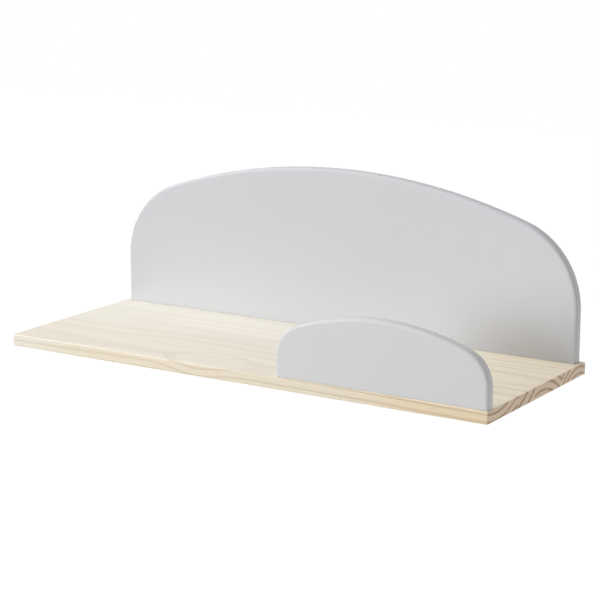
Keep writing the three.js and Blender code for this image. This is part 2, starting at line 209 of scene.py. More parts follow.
def rounded_levels(low, high, radius, steps):
    """Places from low to high, each with the inset that rounds off both ends."""
    angles = np.linspace(0, QUARTER_TURN, steps + 1)
    rise = [(low + radius * (1 - math.cos(a)), radius * (1 - math.sin(a))) for a in angles]
    fall = [(high + low - place, inset) for place, inset in reversed(rise)]
    return rise + fall


def apply_modifiers(piece):
    """Bakes a piece's modifiers into its mesh."""
    graph = bpy.context.evaluated_depsgraph_get()
    data = bpy.data.meshes.new_from_object(piece.evaluated_get(graph))
    piece.modifiers.clear()
    piece.data = data


def cut(piece, tools):
    """Takes the tools out of a piece and deletes them."""
    for tool in tools:
        modifier = piece.modifiers.new("cut", "BOOLEAN")
        modifier.operation = "DIFFERENCE"
        modifier.solver = "EXACT"
        modifier.object = tool
    apply_modifiers(piece)
    for tool in tools:
        bpy.data.objects.remove(tool)


def soften(piece, angle=SMOOTH_ANGLE):
    """Smooth shading that keeps flat faces flat, and edges sharp where they turn by more than the angle."""
    piece.data.shade_smooth()
    piece.data.set_sharp_from_angle(angle=math.radians(angle))
    modifier = piece.modifiers.new("flat_faces", "WEIGHTED_NORMAL")
    modifier.keep_sharp = True
    modifier.weight = FACE_WEIGHT
    apply_modifiers(piece)


def finish_piece(piece, material, node):
    """Dresses a finished piece and lets it stand for its CAD node."""
    piece.data.materials.clear()
    piece.data.materials.append(material)
    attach(piece, "root")
    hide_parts(node)


# Node trees

def srgb(red, green, blue):
    """A display colour, 0 to 255 each, as the linear colour that shaders take."""
    def linear(level):
        share = level / 255
        return share / 12.92 if share <= 0.04045 else ((share + 0.055) / 1.055) ** 2.4
    return (linear(red), linear(green), linear(blue), 1.0)


@dataclass
class Pattern:
    """Smooth noise: its features per metre along X, Y and Z, its detail and roughness, and its seed."""
    scale: tuple
    detail: float
    roughness: float
    seed: float


class Nodes:
    """The node tree of a material or of the world. Each method adds to it, and most give a node's output."""

    def __init__(self, owner):
        owner.use_nodes = True
        self.tree = owner.node_tree
        self.tree.nodes.clear()

    def add(self, kind, inputs=(), **settings):
        """Adds a node. Its inputs, by name or number, take a value or another node's output."""
        node = self.tree.nodes.new(f"ShaderNode{kind}")
        for name, setting in settings.items():
            setattr(node, name, setting)
        for key, value in dict(inputs).items():
            if isinstance(value, bpy.types.NodeSocket):
                self.tree.links.new(value, node.inputs[key])
            else:
                node.inputs[key].default_value = value
        return node

    def math(self, operation, *values):
        return self.add("Math", enumerate(values), operation=operation).outputs[0]

    def vector(self, operation, *values):
        return self.add("VectorMath", enumerate(values), operation=operation).outputs[0]

    def parts(self, vector):
        """The X, Y and Z of a vector."""
        return self.add("SeparateXYZ", {0: vector}).outputs

    def grey(self, level):
        """A grey of a level that varies."""
        return self.add("CombineXYZ", enumerate([level] * 3)).outputs[0]

    def random(self, value):
        """A random level from 0 to 1 for each value."""
        return self.add("TexWhiteNoise", {"W": value}, noise_dimensions="1D").outputs["Value"]

    def step(self, value, span, ends=(0.0, 1.0)):
        """Goes smoothly from one end to the other as the value crosses the span."""
        names = ("Value", "From Min", "From Max", "To Min", "To Max")
        inputs = zip(names, (value, *span, *ends))
        return self.add("MapRange", inputs, interpolation_type="SMOOTHSTEP").outputs["Result"]

    def curve(self, value, knots):
        """Goes smoothly through knots, each a value and the level there."""
        level = knots[0][1]
        for (start, low), (end, high) in zip(knots, knots[1:]):
            if low != high:
                level = self.math("ADD", level, self.step(value, (start, end), (0.0, high - low)))
        return level

    def between(self, share, a, b):
        """Goes evenly from a to b as the share goes from 0 to 1."""
        return self.math("MULTIPLY_ADD", share, self.math("SUBTRACT", b, a), a)

    def mix(self, share, a, b, blend="MIX"):
        """Colour a, with as much of colour b laid over it as the share says."""
        inputs = {"Factor": share, 6: a, 7: b}
        return self.add("Mix", inputs, data_type="RGBA", blend_type=blend).outputs[2]

    def seen_directly(self):
        """1 for rays that show a surface as such, and 0 for rays that light the object."""
        path = self.add("LightPath").outputs
        either = self.math("MAXIMUM", path["Is Camera Ray"], path["Is Glossy Ray"])
        return self.math("MAXIMUM", either, path["Is Transmission Ray"])


class Finish(Nodes):
    """The node tree of one of the object's materials."""

    def __init__(self, name):
        self.material = bpy.data.materials.new(name)
        super().__init__(self.material)
        coordinates = self.add("TexCoord").outputs
        self.place = coordinates["Object"]
        self.facing = coordinates["Normal"]

    def noise(self, pattern, seed=0.0, colour=False):
        """A pattern's level about a half, or its random colour. The seed adds to the pattern's own."""
        inputs = {
            "Vector": self.vector("MULTIPLY", self.place, pattern.scale),
            "W": pattern.seed + seed,
            "Scale": 1.0,
            "Detail": pattern.detail,
            "Roughness": pattern.roughness,
        }
        return self.add("TexNoise", inputs, noise_dimensions="4D").outputs[1 if colour else 0]

    def surface(self, height, **inputs):
        """Ends the tree with a shader, whose surface has the relief of a height in metres."""
        relief = self.add("Bump", {"Strength": 1.0, "Distance": 1.0, "Height": height})
        named = {name.replace("_", " "): value for name, value in inputs.items()}
        shader = self.add("BsdfPrincipled", {**named, "Normal": relief.outputs[0]})
        self.add("OutputMaterial", {"Surface": shader.outputs[0]})
        return self.material


# Levels that nearly all of a noise pattern lies between
NOISE_RANGE = (0.3, 0.7)


# Pine

@dataclass
class Growth:
    """How one stave was cut from its tree. Lengths are in mm.

    The pith's place is that at the board's right end, measured from the front edge and the underside. The
    lean is its drift towards the wall for each mm along X, and the wander its rise at places along X. The
    warmth is the share of warm colour in the top, the tone the stave's brightness, and the left share how
    strongly the rings show on its left part.
    """
    pith_y: float
    pith_z: float
    ring_width: float
    ring_offset: float
    lean: float
    wander: tuple
    seed: float
    warmth: float
    tone: float = 1.0
    left_share: float = 0.66


GROWTHS = {
    "stave_1": Growth(
        pith_y=21.8, pith_z=124.9, ring_width=10.46, ring_offset=0.0, lean=-0.007, seed=1, warmth=0.2,
        wander=((-400, 5), (-140, 7.5), (-65, -2.6), (20, 4.5), (180, 3.5), (400, 0))),
    "stave_2": Growth(
        pith_y=38.7, pith_z=130.6, ring_width=14.07, ring_offset=0.02, lean=-0.018, seed=21, warmth=0.13,
        tone=0.99, left_share=0.75,
        wander=((-400, 5), (-290, 4.5), (-150, -5.5), (40, -4), (180, 0), (400, 0))),
    "stave_3": Growth(
        pith_y=163.8, pith_z=-66.6, ring_width=11.81, ring_offset=0.4, lean=0.015, seed=41, warmth=0.06,
        left_share=0.4,
        wander=((-400, 8), (-280, -1), (-60, -2.5), (60, 0), (200, 6.8), (400, 0))),
    "stave_4": Growth(
        pith_y=283.4, pith_z=-41, ring_width=9.42, ring_offset=0.81, lean=0.035, seed=61, warmth=0.04,
        tone=0.99, left_share=0.4,
        wander=((-400, -0.5), (-60, 1), (60, 5), (200, 0), (400, 0))),
}

# How far the rings stray from true circles about the pith
WAVES = Pattern((5, 20, 20), detail=2, roughness=0.5, seed=0)
WAVE_SIZE = 2 * MM
RIPPLES = Pattern((14, 90, 90), detail=2, roughness=0.5, seed=3)
RIPPLE_SIZE = 0.8 * MM

# Shares of a ring's width between which late wood darkens and ends, and how strong single rings are
LATE_RISE = (0.52, 0.9)
LATE_FALL = (0.93, 1.0)
RING_VIGOUR = (0.7, 1.0)

# How squarely a surface must face along X, along Y or up to count as end grain, as a side or as the top
END_FACING = (0.5, 0.85)
SIDE_FACING = (0.4, 0.8)
TOP_FACING = (0.5, 0.85)

# How strongly the rings show on the top, at places along X, and on the other faces. Over the rise, each
# stave's left share of that gives way to all of it
TOP_CONTRAST = ((-330 * MM, 0.17), (-150 * MM, 0.29))
SIDE_CONTRAST = 0.54
END_CONTRAST = 1.3
CONTRAST_RISE = (-100 * MM, 250 * MM)

# Warmth of the top. Over the rise, each stave's own gives way to the right one
WARMTH_RISE = (150 * MM, 330 * MM)
RIGHT_WARMTH = 0.5

# Warmth of the sides, and painted light on the top: how much brighter the top is painted than the sides, at
# places along X, most at the right end
SIDE_WARMTH = ((-400 * MM, 0.1), (-260 * MM, 0.5), (150 * MM, 0.5), (330 * MM, 1.0))
PAINTED_TOP_LIGHT = ((-350 * MM, 0.0), (-190 * MM, 0.04), (0, 0.04), (300 * MM, 0.16))

# Streaks, fibres and clouds along the grain, with how much each changes the brightness. Streaks also change
# how strongly the rings show
STREAKS = Pattern((6, 240, 240), detail=3, roughness=0.55, seed=5)
STREAK_DEPTH = 0.12
STREAK_CONTRAST = (0.65, 1.2)
FIBRES = Pattern((16, 900, 900), detail=4, roughness=0.65, seed=7)
FIBRE_DEPTH = 0.16
CLOUDS = Pattern((2.2, 26, 26), detail=3, roughness=0.5, seed=11)
CLOUD_DEPTH = 0.1

# Resin canals, pores of the end grain and glue lines
CANALS = Pattern((70, 2800, 2800), detail=1, roughness=0.5, seed=13)
CANAL_RANGE = (0.62, 0.72)
CANAL_TINT = 0.2
PORES = Pattern((2500, 2500, 2500), detail=1, roughness=0.5, seed=0)
GLUE_EDGE = (0.05 * MM, 0.25 * MM)
GLUE_TINT = 0.2

# Relief and roughness
LATE_RELIEF = 0.015 * MM
FIBRE_RELIEF = 0.012 * MM
CANAL_RELIEF = -0.02 * MM
PORE_RELIEF = 0.03 * MM
PINE_ROUGHNESS = 0.44
FIBRE_ROUGHNESS = 0.12
END_ROUGHNESS = 0.2


class Pine(Finish):
    """Pale pine with growth rings about its pith, fibres and resin canals along X and darker end grain."""

    def __init__(self, name, growth):
        super().__init__(name)
        self.growth = growth
        self.x, self.y, _ = self.parts(self.place)
        normal_x, normal_y, normal_z = self.parts(self.facing)
        self.end_face = self.step(self.math("ABSOLUTE", normal_x), END_FACING)
        self.side_face = self.step(self.math("ABSOLUTE", normal_y), SIDE_FACING)
        self.top_face = self.step(normal_z, TOP_FACING)
        self.streaks = self.noise(STREAKS, growth.seed)
        self.fibres = self.noise(FIBRES, growth.seed)
        self.clouds = self.noise(CLOUDS, growth.seed)
        self.canals = self.step(self.noise(CANALS, growth.seed), CANAL_RANGE)
        self.late = self.math("MULTIPLY", self.late_wood(), self.contrast())

    def wobble(self, pattern, size):
        """A smooth random shift across the grain, up to about half the size either way."""
        shift = self.noise(pattern, self.growth.seed, colour=True)
        centred = self.vector("SUBTRACT", shift, (0.5, 0.5, 0.5))
        return self.vector("MULTIPLY", centred, (0, size, size))

    def ring_age(self):
        """How many rings lie between the pith and each point of the wood."""
        growth = self.growth
        shift = self.vector("ADD", self.wobble(WAVES, WAVE_SIZE), self.wobble(RIPPLES, RIPPLE_SIZE))
        point = self.vector("ADD", self.place, shift)
        x, y, z = self.parts(self.vector("MULTIPLY", point, (1 / MM, 1 / MM, 1 / MM)))
        low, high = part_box("stave_1")
        right_y = low.y / MM + growth.pith_y
        pith_y = self.math("MULTIPLY_ADD", x, growth.lean, right_y - growth.lean * high.x / MM)
        pith_z = self.curve(x, [(place, growth.pith_z + rise) for place, rise in growth.wander])
        across = self.math("SUBTRACT", y, pith_y)
        up = self.math("SUBTRACT", z, pith_z)
        squares = [self.math("MULTIPLY", length, length) for length in (across, up)]
        radius = self.math("SQRT", self.math("ADD", *squares))
        return self.math("MULTIPLY_ADD", radius, 1 / growth.ring_width, growth.ring_offset)

    def late_wood(self):
        """The dark outer part of each growth ring. Some rings are stronger than others."""
        age = self.ring_age()
        ring = self.math("FRACT", age)
        late = self.math("MULTIPLY", self.step(ring, LATE_RISE), self.step(ring, LATE_FALL, (1.0, 0.0)))
        year = self.math("ADD", self.math("FLOOR", age), self.growth.seed)
        vigour = self.step(self.random(year), (0.0, 1.0), RING_VIGOUR)
        return self.math("MULTIPLY", late, vigour)

    def contrast(self):
        """How strongly the rings show on each face and along the board."""
        contrast = self.curve(self.x, TOP_CONTRAST)
        contrast = self.between(self.end_face, contrast, END_CONTRAST)
        contrast = self.between(self.side_face, contrast, SIDE_CONTRAST)
        share = self.step(self.x, CONTRAST_RISE, (self.growth.left_share, 1.0))
        contrast = self.math("MULTIPLY", contrast, share)
        return self.math("MULTIPLY", contrast, self.step(self.streaks, NOISE_RANGE, STREAK_CONTRAST))

    def warmth(self):
        """The share of warm pine in the colour."""
        top = self.step(self.x, WARMTH_RISE, (self.growth.warmth, RIGHT_WARMTH))
        return self.between(self.side_face, top, self.curve(self.x, SIDE_WARMTH))

    def level(self):
        """The brightness of the wood, about 1, with painted light that makes the top brighter than the sides,
        most at the right end.
        """
        # Painted light: the top faces are brightened, more towards the right end
        level = self.math("MULTIPLY_ADD", self.top_face, self.curve(self.x, PAINTED_TOP_LIGHT), self.growth.tone)
        layers = ((self.streaks, STREAK_DEPTH), (self.fibres, FIBRE_DEPTH), (self.clouds, CLOUD_DEPTH))
        for layer, depth in layers:
            change = self.math("MULTIPLY", self.math("SUBTRACT", layer, 0.5), depth)
            level = self.math("ADD", level, change)
        return level

    def colour(self, glue_lines):
        """The wood's colour, with glue lines at places along Y."""
        late_pine = srgb(*LATE_PINE)
        colour = self.mix(self.warmth(), srgb(*PALE_PINE), srgb(*WARM_PINE))
        colour = self.mix(self.late, colour, late_pine)
        colour = self.mix(self.math("MULTIPLY", self.canals, CANAL_TINT), colour, late_pine)
        colour = self.mix(self.end_face, colour, self.mix(1.0, colour, srgb(*END_PINE), "MULTIPLY"))
        for glue_y in glue_lines:
            gap = self.math("ABSOLUTE", self.math("SUBTRACT", self.y, glue_y))
            colour = self.mix(self.step(gap, GLUE_EDGE, (GLUE_TINT, 0.0)), colour, srgb(*GLUE_LINE))
        return self.mix(1.0, colour, self.grey(self.level()), "MULTIPLY")

    def height(self):
        """Late wood and fibres stand proud, canals sink in, and pores make the end grain uneven."""
        late = self.math("MULTIPLY", self.late, LATE_RELIEF)
        height = self.math("ADD", late, self.math("MULTIPLY", self.fibres, FIBRE_RELIEF))
        height = self.math("MULTIPLY_ADD", self.canals, CANAL_RELIEF, height)
        pores = self.math("MULTIPLY", self.noise(PORES, self.growth.seed), self.end_face)
        return self.math("ADD", height, self.math("MULTIPLY", pores, PORE_RELIEF))

    def roughness(self):
        """A soft sheen that varies with the fibres, and is duller on the end grain."""
        fibres = self.math("MULTIPLY_ADD", self.fibres, FIBRE_ROUGHNESS, PINE_ROUGHNESS)
        return self.math("ADD", fibres, self.math("MULTIPLY", self.end_face, END_ROUGHNESS))


def pine(name, growth, glue_lines):
    """The material of one stave, with glue lines at places along Y."""
    wood = Pine(name, growth)
    return wood.surface(wood.height(), Base_Color=wood.colour(glue_lines), Roughness=wood.roughness())


# Grey paint

PEEL = Pattern((700, 700, 700), detail=2, roughness=0.5, seed=2)
PEEL_RELIEF = 0.006 * MM
FUZZ = Pattern((2600, 2600, 2600), detail=1, roughness=0.5, seed=5)
FUZZ_RANGE = (0.4, 0.7)
FUZZ_RELIEF = 0.01 * MM
PAINT_CLOUDS = Pattern((9, 9, 9), detail=3, roughness=0.5, seed=9)
PAINT_ROUGHNESS = (0.52, 0.58)
PANEL_FACING = (0.75, 0.99)
PANEL_EDGE_DULL_AND_SHADE = (0.12, 0.26)
PANEL_EDGE_ROUGHNESS = 0.06


def grey_paint(name, cool, warm):
    """Light grey satin paint on fibreboard: faint peel and soft clouds, with rougher edges that are darker,
    partly from duller paint and partly as painted shade.
    """
    s = Finish(name)
    _, normal_y, _ = s.parts(s.facing)
    edge = s.step(s.math("ABSOLUTE", normal_y), PANEL_FACING, (1.0, 0.0))
    fuzz = s.noise(FUZZ)
    cloud = s.noise(PAINT_CLOUDS)
    colour = s.mix(s.step(cloud, NOISE_RANGE), srgb(*cool), srgb(*warm))
    # Painted shade: the rounded edges are darkened, partly for duller paint there and partly as shade
    edge_dull_and_shade = s.math("MULTIPLY", edge, s.step(fuzz, FUZZ_RANGE, PANEL_EDGE_DULL_AND_SHADE))
    colour = s.mix(edge_dull_and_shade, colour, srgb(*EDGE_DULL_PAINT_AND_SHADE))
    edge_rough = s.math("MULTIPLY", edge, PANEL_EDGE_ROUGHNESS)
    rough = s.math("ADD", s.step(cloud, NOISE_RANGE, PAINT_ROUGHNESS), edge_rough)
    edge_fuzz = s.math("MULTIPLY", s.math("MULTIPLY", fuzz, edge), FUZZ_RELIEF)
    height = s.math("ADD", s.math("MULTIPLY", s.noise(PEEL), PEEL_RELIEF), edge_fuzz)
    return s.surface(height, Base_Color=colour, Roughness=rough)


# Zinc-plated steel

CRYSTALS = Pattern((160, 160, 160), detail=4, roughness=0.6, seed=3)
ZINC_ROUGHNESS = (0.26, 0.4)
ROLLING_MARKS = Pattern((4200, 4200, 300), detail=2, roughness=0.5, seed=4)
ROLLING_RELIEF = 0.003 * MM
DULL_SPOTS = Pattern((900, 900, 900), detail=2, roughness=0.5, seed=8)
DULL_RANGE = (0.6, 0.75)
DULL_TINT = 0.3
DULL_ROUGHNESS = 0.12


def zinc_steel():
    """Bright zinc plate: soft crystal clouds, fine rolling marks and small dull spots."""
    s = Finish("zinc_steel")
    cloud = s.noise(CRYSTALS)
    spots = s.step(s.noise(DULL_SPOTS), DULL_RANGE)
    colour = s.mix(s.step(cloud, NOISE_RANGE), srgb(*ZINC[0]), srgb(*ZINC[1]))
    colour = s.mix(s.math("MULTIPLY", spots, DULL_TINT), colour, srgb(*DULL_ZINC))
    dull_rough = s.math("MULTIPLY", spots, DULL_ROUGHNESS)
    rough = s.math("ADD", s.step(cloud, NOISE_RANGE, ZINC_ROUGHNESS), dull_rough)
    height = s.math("MULTIPLY", s.noise(ROLLING_MARKS), ROLLING_RELIEF)
    return s.surface(height, Base_Color=colour, Metallic=1.0, Roughness=rough)


# Beech

BEECH_BANDS = Pattern((300, 300, 20), detail=2, roughness=0.5, seed=6)
FLECKS = Pattern((2600, 2600, 260), detail=1, roughness=0.5, seed=1)
FLECK_RANGE = (0.56, 0.66)
FLECK_TINT = 0.45
FLECK_RELIEF = -0.02 * MM
BEECH_ROUGHNESS = 0.7


def beech():
    """Bare beech with short dark flecks along the dowel."""
    s = Finish("beech")
    flecks = s.step(s.noise(FLECKS), FLECK_RANGE)
    bands = s.step(s.noise(BEECH_BANDS), NOISE_RANGE)
    colour = s.mix(bands, srgb(*BEECH[0]), srgb(*BEECH[1]))
    colour = s.mix(s.math("MULTIPLY", flecks, FLECK_TINT), colour, srgb(*BEECH_FLECK))
    height = s.math("MULTIPLY", flecks, FLECK_RELIEF)
    return s.surface(height, Base_Color=colour, Roughness=BEECH_ROUGHNESS)


# Holes for the fixings

def screws_and_dowels(prefix):
    """The names of the screws and of the dowels that hold the back panel or the guard."""
    names = sorted(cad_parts)
    screws = [n for n in names if n.startswith(prefix + "_screw")]
    dowels = [n for n in names if n.startswith(prefix + "_dowel")]
    return screws, dowels


def middle(node):
    """The middle of a CAD node's box."""
    low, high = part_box(node)
    return (low + high) / 2


def hole(node, profile):
    """A cutting tool turned about an upright fixing's axis, from the radius and height of each ring."""
    centre = middle(node)
    angles = np.linspace(0, FULL_TURN, HOLE_SIDES, endpoint=False)
    loops = [
        [(centre.x + r * math.cos(a), centre.y + r * math.sin(a), z) for a in angles]
        for r, z in profile
    ]
    return loft("tool", loops)


def countersink(screw, board_top):
    """The hole of a countersunk screw through the board."""
    low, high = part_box(screw)
    head = (high.x - low.x) / 2 + HOLE_CLEARANCE
    shank = SHANK_RADIUS + HOLE_CLEARANCE
    rim = low.z + HEAD_RIM
    profile = [
        (head, -HOLE_OVERSHOOT),
        (head, rim),
        (shank, rim + head - shank),
        (shank, board_top + HOLE_OVERSHOOT),
    ]
    return hole(screw, profile)


def board_holes(low, high):
    """Tools for all holes in the stave between two corners."""
    tools = []
    for prefix in ("back", "guard"):
        screws, dowels = screws_and_dowels(prefix)
        for screw in screws:
            if low.y < middle(screw).y < high.y:
                tools.append(countersink(screw, high.z))
        for dowel in dowels:
            if low.y < middle(dowel).y < high.y:
                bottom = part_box(dowel)[0].z - HOLE_CLEARANCE
                top = high.z + HOLE_OVERSHOOT
                tools.append(hole(dowel, [(DOWEL_RADIUS, bottom), (DOWEL_RADIUS, top)]))
    return tools


def foot_holes(prefix, foot):
    """Tools for the holes of a panel's screws and dowels in its own foot."""
    screws, dowels = screws_and_dowels(prefix)
    tools = []
    for node in screws + dowels:
        radius = SHANK_RADIUS + HOLE_CLEARANCE if node in screws else DOWEL_RADIUS
        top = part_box(node)[1].z + HOLE_CLEARANCE
        tools.append(hole(node, [(radius, foot - HOLE_OVERSHOOT), (radius, top)]))
    return tools


# Board

def stave_section(low, high, front_round, rear_round, inset):
    """Cross-section of a stave in Y and Z, drawn in by an inset everywhere but at its glued edges."""
    radius = BOARD_EDGE_RADIUS - inset
    corners = [
        (high.y, low.z, 1, -1, rear_round),
        (high.y, high.z, 1, 1, rear_round),
        (low.y, high.z, -1, 1, front_round),
        (low.y, low.z, -1, -1, front_round),
    ]
    points = []
    for i, (edge_y, edge_z, side, rise, is_round) in enumerate(corners):
        corner_z = edge_z - rise * inset
        if not is_round:
            points.append((edge_y, corner_z))
            continue
        centre_y = edge_y - side * (inset + radius)
        centre_z = corner_z - rise * radius
        start = (i - 1) * QUARTER_TURN
        points += arc(centre_y, centre_z, radius, start, start + QUARTER_TURN, BOARD_EDGE_STEPS)
    return points


def stave_body(node, front_round, rear_round):
    """A stave with its holes. Its ends are rounded, and so are its long edges where they are the board's."""
    low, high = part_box(node)
    loops = []
    for x, inset in rounded_levels(low.x, high.x, BOARD_EDGE_RADIUS, BOARD_EDGE_STEPS):
        section = stave_section(low, high, front_round, rear_round, inset)
        loops.append([(x, y, z) for y, z in section])
    stave = loft(f"board_{node}", loops)
    tools = board_holes(low, high)
    if tools:
        cut(stave, tools)
    soften(stave)
    return stave


def build_board():
    """The four staves, each cut from its own part of a tree."""
    staves = list(GROWTHS)
    for node in staves:
        low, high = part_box(node)
        is_first = node == staves[0]
        is_last = node == staves[-1]
        stave = stave_body(node, is_first, is_last)
        glue_lines = [] if is_first else [low.y]
        glue_lines += [] if is_last else [high.y]
        finish_piece(stave, pine(f"pine_{node}", GROWTHS[node], glue_lines), node)


# Panels

@dataclass
class Arch:
    """A panel's outline: upright sides, two corner arcs and a crown arc that meets them smoothly."""
    middle: float
    foot: float
    length: float
    height: float
    corner_radius: float
    crown_radius: float

    def outline(self, inset, lift):
        """Points from the right foot over the crown to the left foot.

        The inset draws the outline in all round but at its foot, and the lift raises the foot.
        """
        corner_x = self.length / 2 - self.corner_radius
        crown_z = self.height - self.crown_radius
        reach = self.crown_radius - self.corner_radius
        corner_z = crown_z + math.sqrt(reach ** 2 - corner_x ** 2)
        join = math.atan2(corner_z - crown_z, corner_x)
        right = arc(corner_x, corner_z, self.corner_radius - inset, 0, join, CORNER_STEPS)
        crown = arc(0, crown_z, self.crown_radius - inset, join, math.pi - join, CROWN_STEPS)
        foot_x = self.length / 2 - inset - FOOT_CORNER_RADIUS
        foot_z = lift + FOOT_CORNER_RADIUS
        foot = arc(foot_x, foot_z, FOOT_CORNER_RADIUS, -QUARTER_TURN, 0, FOOT_CORNER_STEPS)
        right = foot + right
        left = [(-x, z) for x, z in reversed(right)]
        return [(self.middle + x, self.foot + z) for x, z in right + crown[1:-1] + left]


def arched_panel(node, corner_radius, crown_radius):
    """A panel with rounded edges that stands in its node's place."""
    low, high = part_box(node)
    form = Arch((low.x + high.x) / 2, low.z, high.x - low.x, high.z - low.z, corner_radius, crown_radius)
    loops = []
    for y, inset in rounded_levels(low.y, high.y, PANEL_EDGE_RADIUS, PANEL_EDGE_STEPS):
        gap = max(0.0, PANEL_FOOT_EASE - min(y - low.y, high.y - y))
        lift = PANEL_FOOT_EASE - math.sqrt(PANEL_FOOT_EASE ** 2 - gap ** 2)
        loops.append([(x, y, z) for x, z in form.outline(inset, lift)])
    return loft(f"{node}_painted", loops)


def build_panels():
    panels = (
        ("back", "back_panel", BACK_CORNER_RADIUS, BACK_CROWN_RADIUS, SHADED_BACK_PAINT),
        ("guard", "front_guard", GUARD_CORNER_RADIUS, GUARD_CROWN_RADIUS, GUARD_PAINT),
    )
    for prefix, node, corner_radius, crown_radius, paint in panels:
        panel = arched_panel(node, corner_radius, crown_radius)
        cut(panel, foot_holes(prefix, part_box(node)[0].z))
        soften(panel)
        finish_piece(panel, grey_paint(f"{prefix}_paint", *paint), node)


# Screws and dowels

def screw_loops(head, length, shank_radius, thread_start):
    """Rings of a screw that stands on its head at the origin: the head's, then thread and tip."""
    angles = np.linspace(0, FULL_TURN, SCREW_SIDES, endpoint=False)
    rings = [[(r * math.cos(a), r * math.sin(a), z) for a in angles] for r, z in head]
    core = CORE_SHARE * shank_radius
    steps = round((length - thread_start) / THREAD_STEP)
    for z in np.linspace(thread_start, length, steps + 1)[:-1]:
        taper = min(1.0, (length - z) / TIP_LENGTH)
        ring = []
        for a in angles:
            turn = (z / THREAD_PITCH - a / FULL_TURN) % 1
            ridge = max(0.0, 1 - abs(turn - 0.5) / RIDGE_SHARE)
            radius = (core + (shank_radius - core) * ridge) * taper
            ring.append((radius * math.cos(a), radius * math.sin(a), z))
        rings.append(ring)
    return rings


def cross_recess():
    """Two crossing tapered bars that cut a recess upwards from a head at the origin."""
    bars = []
    for turn in (0, QUARTER_TURN):
        spin = Matrix.Rotation(turn, 3, "Z")
        loops = []
        for z, share in ((-HOLE_OVERSHOOT, 1.0), (0, 1.0), (RECESS_DEPTH, RECESS_TAPER)):
            x = RECESS_SPAN / 2 * share
            y = RECESS_WIDTH / 2 * share
            corners = [(-x, -y), (x, -y), (x, y), (-x, y)]
            loops.append([spin @ Vector((cx, cy, z)) for cx, cy in corners])
        bars.append(loft("tool", loops))
    return bars


def countersunk_screw(length, head_radius):
    """Rings of a countersunk screw that stands on its head at the origin."""
    cone_end = HEAD_RIM + head_radius - SHANK_RADIUS
    head = [
        (head_radius, 0),
        (head_radius, HEAD_RIM),
        (SHANK_RADIUS, cone_end),
        (SHANK_RADIUS, PLAIN_SHANK),
    ]
    return screw_loops(head, length, SHANK_RADIUS, PLAIN_SHANK + THREAD_STEP)


def pan_head_screw(length, head_radius):
    """Rings of a pan-head screw that stands on its head at the origin."""
    crown = [
        (head_radius - PAN_HEAD_EDGE * (1 - math.sin(a)), PAN_HEAD_DOME + PAN_HEAD_EDGE * (1 - math.cos(a)))
        for a in np.linspace(0, QUARTER_TURN, PAN_HEAD_STEPS + 1)
    ]
    head = [
        (head_radius * PAN_HEAD_FLAT_SHARE, 0),
        *crown,
        (head_radius, PAN_HEAD_HEIGHT),
        (HANGER_SCREW_RADIUS, PAN_HEAD_HEIGHT),
        (HANGER_SCREW_RADIUS, PAN_HEAD_HEIGHT + SHEET),
    ]
    return screw_loops(head, length, HANGER_SCREW_RADIUS, PAN_HEAD_HEIGHT + SHEET + THREAD_STEP)


def add_screws(nodes, loops, is_upright, material):
    """Screws that share one mesh, each in its node's place: upright, or level and driven in from the rear."""
    model = loft("screw_model", loops)
    cut(model, cross_recess())
    soften(model)
    for node in nodes:
        low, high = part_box(node)
        place = (low + high) / 2
        if is_upright:
            place.z = low.z
        else:
            place.y = high.y
        screw = bpy.data.objects.new(f"{node}_threaded", model.data)
        bpy.context.scene.collection.objects.link(screw)
        turn = 0 if is_upright else QUARTER_TURN
        screw.matrix_world = Matrix.Translation(place) @ Matrix.Rotation(turn, 4, "X")
        finish_piece(screw, material, node)
    bpy.data.objects.remove(model)


def build_screws(material):
    upright = screws_and_dowels("back")[0] + screws_and_dowels("guard")[0]
    low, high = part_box(upright[0])
    add_screws(upright, countersunk_screw(high.z - low.z, (high.x - low.x) / 2), True, material)
    level = sorted(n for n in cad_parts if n.startswith("hanger_") and "_screw_" in n)
    low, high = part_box(level[0])
    add_screws(level, pan_head_screw(high.y - low.y, (high.x - low.x) / 2), False, material)


def dress_dowels(material):
    """The dowels keep their CAD form, with their flutes, and get bare beech."""
    for name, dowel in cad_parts.items():
        if "_dowel_" in name:
            dowel.data.materials.clear()
            dowel.data.materials.append(material)


# Hangers

def hanger_profile(low, high, offset):
    """Heights and distances from the panel of the sheet's surface, at an offset from its middle line."""
    rise = high.y - low.y - SHEET
    half = (high.z - low.z) / 2
    knee = half - FLANGE_LENGTH - rise
    slope = QUARTER_TURN / 2
    bend = BEND_RADIUS + SHEET / 2
    reach = bend * math.tan(slope / 2)
    foot = knee + rise + reach
    angles = np.linspace(0, slope, BEND_STEPS + 1)
    upper = [(knee - reach + bend * math.sin(a), rise - bend * (1 - math.cos(a)), a) for a in angles]
    upper += [(foot - bend * math.sin(a), bend * (1 - math.cos(a)), a) for a in reversed(angles)]
    upper.append((half + HOLE_OVERSHOOT, 0, 0.0))
    heights = [z + offset * math.sin(a) for z, _, a in upper]
    outs = [out + SHEET / 2 + offset * math.cos(a) for _, out, a in upper]
    heights = [-z for z in reversed(heights)] + heights
    outs = list(reversed(outs)) + outs
    return heights, outs


